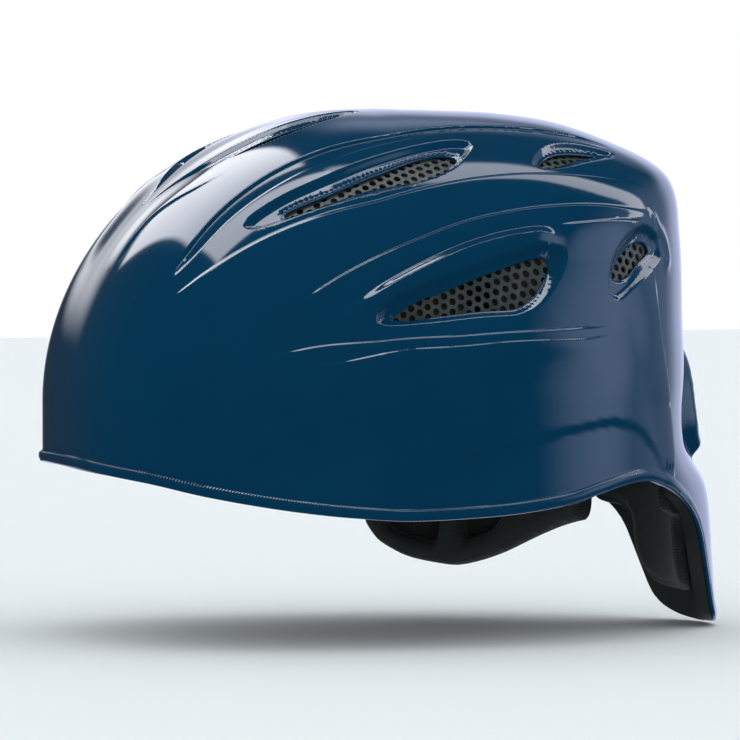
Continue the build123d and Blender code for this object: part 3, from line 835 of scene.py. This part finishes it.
def keep_out(V):
    d = dist(V, KEEP) / DEG_MM
    r = np.hypot(V[:, 0], V[:, 1])
    z = np.where(r > 90, (90 - r) / DEG_MM, 130 * np.sin(np.radians(np.clip(90 - r, 0, 90))))
    return 0.25 + (keep_height(z) - 0.25) * sstep(d, -0.4, 9.0)


keeper = slab("strap_keeper_block", KEEP, keep_out, -1.0, h=0.9, rings=(0.4, 0.8, 1.2, 1.7, 2.2, 2.8, 3.4), wall_n=2)
dress(keeper, "shell", reps=("strap_keeper",))


# ------------------------------------------------------------------ perforated vent mesh
def hole_lattice(poly, pitch=4.2, dia=3.0, n=8, margin=0.12):
    """hexagonal lattice of round holes, spaced in mm on the surface, given in the map"""
    q = np.asarray(poly)
    c = q.mean(0)
    e = 0.5
    P0 = lift([c], -4.0)[0]
    J = np.stack([(lift([c + (e, 0)], -4.0)[0] - P0) / e, (lift([c + (0, e)], -4.0)[0] - P0) / e], -1)   # mm per map degree
    G = J.T @ J
    w, U = np.linalg.eigh(G)
    inv = U @ np.diag(1 / np.sqrt(w)) @ U.T      # map degrees for a mm in the surface
    res = []
    R = 60.0
    for j in range(-int(R / pitch / 0.866), int(R / pitch / 0.866) + 1):
        for i in range(-int(R / pitch), int(R / pitch) + 1):
            m = np.array([(i + 0.5 * (j % 2)) * pitch, j * pitch * 0.866])
            cc = c + inv @ m
            loop = np.array([cc + inv @ (dia / 2 * np.array([cos(2 * pi * k / n + 0.26), sin(2 * pi * k / n + 0.26)])) for k in range(n)])
            if inside(loop, q).all() and dist(loop, q).min() > margin:
                res.append(loop)
    return res


def mesh_sheet(name, poly, node):
    g = grow(resample(poly, 1.6), 1.4)
    holes = hole_lattice(grow(resample(poly, 1.6), 1.0))
    loops = [resample(g, 2.0)] + holes
    verts, edges, n = [], [], 0
    for q in loops:
        m = len(q)
        verts += [Vector((float(x), float(y))) for x, y in q]
        edges += [(n + i, n + (i + 1) % m) for i in range(m)]
        n += m
    ov, oe, of_, _, _, _ = delaunay_2d_cdt(verts, edges, [], 0, 1e-6)
    V = np.array([(v.x, v.y) for v in ov])
    F = np.array([f for f in of_ if len(f) == 3])
    c = V[F].mean(axis=1)
    keep = inside(c, loops[0])
    for q in holes:
        keep &= ~inside(c, q)
    F = F[keep]
    A = V[F]
    ar = (A[:, 1, 0] - A[:, 0, 0]) * (A[:, 2, 1] - A[:, 0, 1]) - (A[:, 2, 0] - A[:, 0, 0]) * (A[:, 1, 1] - A[:, 0, 1])
    F = np.where((ar > 0)[:, None], F, F[:, ::-1])
    used = np.unique(F)
    new = -np.ones(len(V), int)
    new[used] = np.arange(len(used))
    V, F = V[used], new[F]
    ob = slab(name, g, -4.3, -5.0, tri=(V, F), smooth=False)
    return dress(ob, "vent_mesh", reps=(node,))


for nm, q in VENTS.items():
    mesh_sheet(nm + "_screen", q, nm + "_mesh")


# ------------------------------------------------------------------ liners, as the CAD divides them
def sector(a0, a1, r0, r1, up=None, n=60):
    a = np.radians(np.linspace(a0, a1, n))
    ro = np.minimum(r1, rim_r(a, up)) if up is not None else np.full(n, float(r1))
    outer = np.stack([ro * np.cos(a), ro * np.sin(a)], -1)
    inner = np.stack([r0 * np.cos(a), r0 * np.sin(a)], -1)[::-1]
    return np.concatenate([outer, inner])


def ring(r, n=60, cen=(0, 0), k=1.0):
    t = np.linspace(0, 2 * pi, n, endpoint=False)
    return np.stack([cen[0] + r * np.cos(t), cen[1] + k * r * np.sin(t)], -1)


def rounded(poly, n=2):
    """the same outline with its corners rounded"""
    return chaikin(resample(poly, 3.0), n)


def crowned(poly, o, i, rad, holes=()):
    """inner offset function: full depth away from the edges, rounded within rad mm of them"""
    loops = [np.asarray(poly)] + [np.asarray(q) for q in holes]

    def f(V):
        d = np.full(len(V), 1e9)
        for q in loops:
            d = np.minimum(d, dist(V, q))
        t = np.clip(1 - d / DEG_MM / rad, 0, 1)
        return o + (i - o) * (1 - t ** 2.2) ** 0.5 * 1.0 if False else i + (o - i) * 0.55 * (1 - np.sqrt(np.clip(1 - t * t, 0, 1)))
    return f


LINER_OUT, LINER_IN = -5.2, -16.0


def liner(name, node, outline, holes=(), h=2.4):
    g = rounded(outline, 1)
    ob = slab(name, g, LINER_OUT, crowned(g, LINER_OUT, LINER_IN, 3.0, holes), holes=holes, h=h, rings=(0.5, 1.2), wall_n=2)
    return dress(ob, "impact_foam", reps=(node,))


def cen(nm):
    return tuple(np.asarray(VENTS[nm]).mean(0))


def hole(nm):
    return ring(5.0 if "rear" not in nm else 3.0, 24, cen(nm))


liner("crown_foam", "crown_liner", ring(47.0, 120), [hole(k) for k in ("left_inner_vent", "right_inner_vent", "left_upper_vent", "right_upper_vent", "left_rear_top_vent", "right_rear_top_vent")])
liner("front_foam", "front_liner", sector(-149, -31, 48.5, 200, up=5.0, n=90))
L = sector(-29.5, 44, 48.5, 200, up=5.0)
liner("left_foam", "left_liner", L, [hole("left_side_vent")])
liner("right_foam", "right_liner", mirror(L), [hole("right_side_vent")])
liner("rear_foam", "rear_liner", sector(45.5, 134.5, 48.5, 102.5), [hole("left_rear_side_vent"), hole("right_rear_side_vent")])
NL = rounded(sector(63.0, 117.0, 103.3, 200, up=0.1, n=80), 1)
nl = slab("nape_foam_sheet", NL, lambda p: -3.25 + 1.95 * thinned(p), crowned(NL, -3.5, -7.6, 2.0), h=1.1, rings=(0.4, 0.9, 1.6, 2.4, 3.2), wall_n=3, bulge=0.4)
dress(nl, "nape_foam", reps=("nape_liner",))


# ------------------------------------------------------------------ comfort pads: crowned, with a piped edge
def pad(name, node, body, outline, o, i, holes=(), h=1.3, rad=6.0, flared=True, pipe=0.5, back=0.0):
    g = np.asarray(outline)
    loops = [g] + [np.asarray(q) for q in holes]

    def inn(V):
        d = np.full(len(V), 1e9)
        for q in loops:
            d = np.minimum(d, dist(V, q))
        d = d / DEG_MM
        t = np.clip(1 - d / rad, 0, 1)
        dome = np.sqrt(np.clip(1 - t * t, 0, 1))
        f = o + (i - o) * (0.34 + 0.66 * dome)
        # sewn line beside the edge, with the piping standing proud of it
        f += -pipe * np.exp(-((d - 0.9) / 0.7) ** 2) + pipe * 1.3 * np.exp(-((d - 2.6) / 0.6) ** 2)
        return f
    ob = slab(name, g, o, inn, holes=holes, h=h, rings=(0.3, 0.7, 1.15, 1.6), flared=flared, wall_n=4, bulge=0.25)
    return dress(ob, "pad_cover", body, (node,))


pad("forehead_cushion", "forehead_pad", "forehead_pad_body", rounded(sector(-117, -63, 80.6, 97.4), 2), -18.8, -27.0)
pad("crown_cushion", "crown_pad", "crown_pad_body", ring(16.6, 60, (0, 4), 1.4), -18.8, -27.0)


def yz_map(pts, off, sgn):
    res = []
    for y, z in pts:
        lo, hi = -pi / 2 + 0.01, pi / 2 - 0.01
        for _ in range(40):
            m = (lo + hi) / 2
            if z <= 0:
                r = float(wall(np.array(m), z, False)) + off
            else:
                el, eh = 0.0, pi / 2
                for _k in range(40):
                    em = (el + eh) / 2
                    if (float(rho(np.array(m), np.array(em))) + off) * sin(em) > z:
                        eh = em
                    else:
                        el = em
                r = (float(rho(np.array(m), np.array(em))) + off) * cos(em)
            if r * sin(m) > y:
                hi = m
            else:
                lo = m
        res.append(to_map((sgn * r * cos(m), r * sin(m), z)))
    return res


BAND_LOW = [(24, -30), (24.5, -53), (29, -60.5), (33, -64.5), (41.5, -69.5), (50, -72), (60, -73.8), (66, -73.4), (73.5, -71.2),
            (81, -67.6), (88, -62.8), (94.5, -58.3), (100.5, -54.3), (104, -52.3)]
BAND_TOP = [(104, -34), (97, -26), (80, -18), (60, -16), (40, -17), (29, -21)]
WIN_A = [(33, -52), (36, -57.5), (43.5, -61.3), (51.5, -63.4), (56.5, -63.4), (57.5, -50), (57.5, -40), (54, -36), (38, -37), (33, -42)]
WIN_B = [(66.5, -62.6), (70, -61.8), (76, -59.4), (81, -53.6), (82, -47), (79, -40), (72, -36.5), (67, -38), (65.5, -50)]
SIDE_SHIFT = -0.9
for side, sgn, dz in (("left", 1, 34.0), ("right", -1, 0.0)):
    def at(pts):
        return chaikin(yz_map([(y, z + dz) for y, z in pts], -22.8 + SIDE_SHIFT, sgn), 2)
    pad(side + "_side_cushion", side + "_side_pad", side + "_side_pad_body", at(BAND_LOW + BAND_TOP), -18.8 + SIDE_SHIFT, -26.8 + SIDE_SHIFT,
        holes=[at(WIN_A), at(WIN_B)], h=1.0, rad=4.5, flared=False, pipe=0.35)
NP = chaikin([to_map((x, 128, z)) for x, z in
              [(-46, -34), (-36, -34), (-24, -34), (-12, -34), (0, -34), (12, -34), (24, -34), (36, -34), (46, -34), (47.5, -40), (45.5, -46.3), (30, -47.5), (26, -52), (26, -62), (23, -72), (17, -78), (8, -80.5), (-8, -80.5), (-17, -78), (-23, -72), (-26, -62),
               (-26, -52), (-30, -47.5), (-45.5, -46.3), (-47.5, -40)]], 2)
pad("nape_cushion", "nape_pad", "nape_pad_body", NP, -10.1, -16.2, h=0.9, rad=6.0)

# CAD nodes that stay get their finish
for n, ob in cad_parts.items():
    if ob.hide_render:
        continue
    sl = "hook_tape" if "hook_tape" in n else "loop_backing" if "backing" in n else None
    if sl:
        ob.data.materials.clear()
        ob.data.materials.append(MAT[sl])

# ------------------------------------------------------------------ stage, light and camera
TH, EL = radians(17.0), radians(2.5)
dv = Vector((cos(EL) * cos(TH), -cos(EL) * sin(TH), sin(EL)))
rv = Vector((sin(TH), cos(TH), 0.0))
uv_ = dv.cross(rv)
if uv_.z < 0:
    uv_ = -uv_

world = bpy.data.worlds.new("studio")
bpy.context.scene.world = world
world.use_nodes = True
wn = world.node_tree
for n in list(wn.nodes):
    wn.nodes.remove(n)
wo = wn.nodes.new("ShaderNodeOutputWorld")
wtc = wn.nodes.new("ShaderNodeTexCoord")
wsep = wn.nodes.new("ShaderNodeSeparateXYZ")
wn.links.new(wtc.outputs["Generated"], wsep.inputs[0])
X, Y, Z = wsep.outputs["X"], wsep.outputs["Y"], wsep.outputs["Z"]


def wm(op, a, b=None, c=None):
    return math_node(wn, op, a, b, c)


def up(x, lo, hi):
    """smooth 0 to 1 as x goes from lo to hi"""
    r = wn.nodes.new("ShaderNodeMapRange")
    r.interpolation_type = "SMOOTHSTEP"
    r.inputs["From Min"].default_value = lo
    r.inputs["From Max"].default_value = hi
    wn.links.new(x, r.inputs["Value"])
    return r.outputs[0]


def prod(*xs):
    r = xs[0]
    for x in xs[1:]:
        r = wm("MULTIPLY", r, x)
    return r


def total(*xs):
    r = xs[0]
    for x in xs[1:]:
        r = wm("ADD", r, x)
    return r


den = wm("MAXIMUM", wm("ADD", Z, 1.0), 0.02)
SA, SB = wm("DIVIDE", X, den), wm("DIVIDE", Y, den)


def softbox(a0, a1, b0, b1, w, power):
    """a rectangular light far away, given where it stands over the object"""
    return wm("MULTIPLY", prod(up(SA, a0 - w, a0 + w), wm("SUBTRACT", 1.0, up(SA, a1 - w, a1 + w)),
                               up(SB, b0 - w, b0 + w), wm("SUBTRACT", 1.0, up(SB, b1 - w, b1 + w))), power)


lean = wm("MULTIPLY_ADD", SA, 0.235, SB)
box_a = wm("MULTIPLY", prod(up(SA, -0.69, -0.655), wm("SUBTRACT", 1.0, up(SA, -0.165, -0.14)), up(lean, -0.415, -0.39), wm("SUBTRACT", 1.0, up(SB, -0.015, 0.01))),
           wm("MULTIPLY_ADD", up(SA, -0.7, -0.25), 3.4, 3.0))
box_b = softbox(-0.05, 0.12, -0.36, 0.05, 0.012, 7.0)
box_c = softbox(-0.07, 0.05, 0.045, 0.75, 0.015, 4.0)
negx = wm("MULTIPLY", X, -1.0)
far_top = wm("MULTIPLY", prod(up(negx, 0.56, 0.76), up(Z, 0.35, 0.62), up(Y, 0.1, 0.3)), 0.75)
far_edge = wm("MULTIPLY", prod(up(negx, 0.93, 0.985), up(Z, 0.08, 0.2)), 1.6)
back_edge = wm("MULTIPLY", prod(up(negx, 0.36, 0.68), up(Y, 0.02, 0.4), wm("SUBTRACT", 1.0, up(Z, 0.3, 0.5))), 1.1)
back_wall = wm("MULTIPLY", prod(up(Y, 0.62, 1.0), up(Z, -0.3, 0.02)), 0.62)
vd = wn.nodes.new("ShaderNodeVectorMath")
vd.operation = "DOT_PRODUCT"
wn.links.new(wtc.outputs["Generated"], vd.inputs[0])
vd.inputs[1].default_value = (0.495, 0.855, 0.150)
glow = wm("MULTIPLY", up(vd.outputs["Value"], 0.90, 1.0), 1.25)
glossy = total(box_a, box_b, box_c, far_edge, 0.03)
bluish = total(far_top, back_edge, back_wall, glow)
diffuse = wm("MULTIPLY_ADD", Z, 0.34, 0.72)
lp = wn.nodes.new("ShaderNodeLightPath")
bgs = []
for src, colr in ((diffuse, (0.90, 0.97, 1.0, 1)), (glossy, (0.95, 0.95, 1.0, 1)), (None, (1, 1, 1, 1)), (bluish, (0.66, 0.72, 1.0, 1))):
    g = wn.nodes.new("ShaderNodeBackground")
    g.inputs[0].default_value = colr
    if src is not None:
        wn.links.new(src, g.inputs[1])
    bgs.append(g.outputs[0])
m1 = wn.nodes.new("ShaderNodeMixShader")
m2 = wn.nodes.new("ShaderNodeMixShader")
wn.links.new(lp.outputs["Is Glossy Ray"], m1.inputs[0])
wn.links.new(bgs[0], m1.inputs[1])
both = wn.nodes.new("ShaderNodeAddShader")
wn.links.new(bgs[1], both.inputs[0])
wn.links.new(bgs[3], both.inputs[1])
wn.links.new(both.outputs[0], m1.inputs[2])
wn.links.new(lp.outputs["Is Camera Ray"], m2.inputs[0])
wn.links.new(m1.outputs[0], m2.inputs[1])
wn.links.new(bgs[2], m2.inputs[2])
wn.links.new(m2.outputs[0], wo.inputs[0])

cam = bpy.data.cameras.new("camera")
cam.lens = 357.6
cam.sensor_width = 36.0
cam.clip_end = 50
co = bpy.data.objects.new("camera", cam)
bpy.context.scene.collection.objects.link(co)
tgt = rv * 0.00327 + uv_ * 0.01224
co.location = tgt + dv * 3.0
m = Matrix((rv, uv_, dv)).transposed()
co.rotation_euler = m.to_euler()
bpy.context.scene.camera = co
bpy.context.scene.view_settings.view_transform = "Standard"

{"cad": CAD_BOX, "visual": as_list(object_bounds())}
# The floor is pale and plain. The camera sees it and its light doesn't reach the shell's reflections.
floor_mesh = bpy.data.meshes.new("floor")
floor_mesh.from_pydata([(-3, -3, -0.0945), (3, -3, -0.0945), (3, 3, -0.0945), (-3, 3, -0.0945)], [], [(0, 1, 2, 3)])
floor = bpy.data.objects.new("floor", floor_mesh)
bpy.context.scene.collection.objects.link(floor)
floor_mat = bpy.data.materials.new("floor_pale")
floor_mat.use_nodes = True
floor_bsdf = floor_mat.node_tree.nodes["Principled BSDF"]
floor_bsdf.inputs["Base Color"].default_value = (0.96, 0.96, 0.96, 1)
floor_bsdf.inputs["Roughness"].default_value = 1.0
floor_mesh.materials.append(floor_mat)
floor.visible_diffuse = False
floor.visible_glossy = False
floor.visible_shadow = False
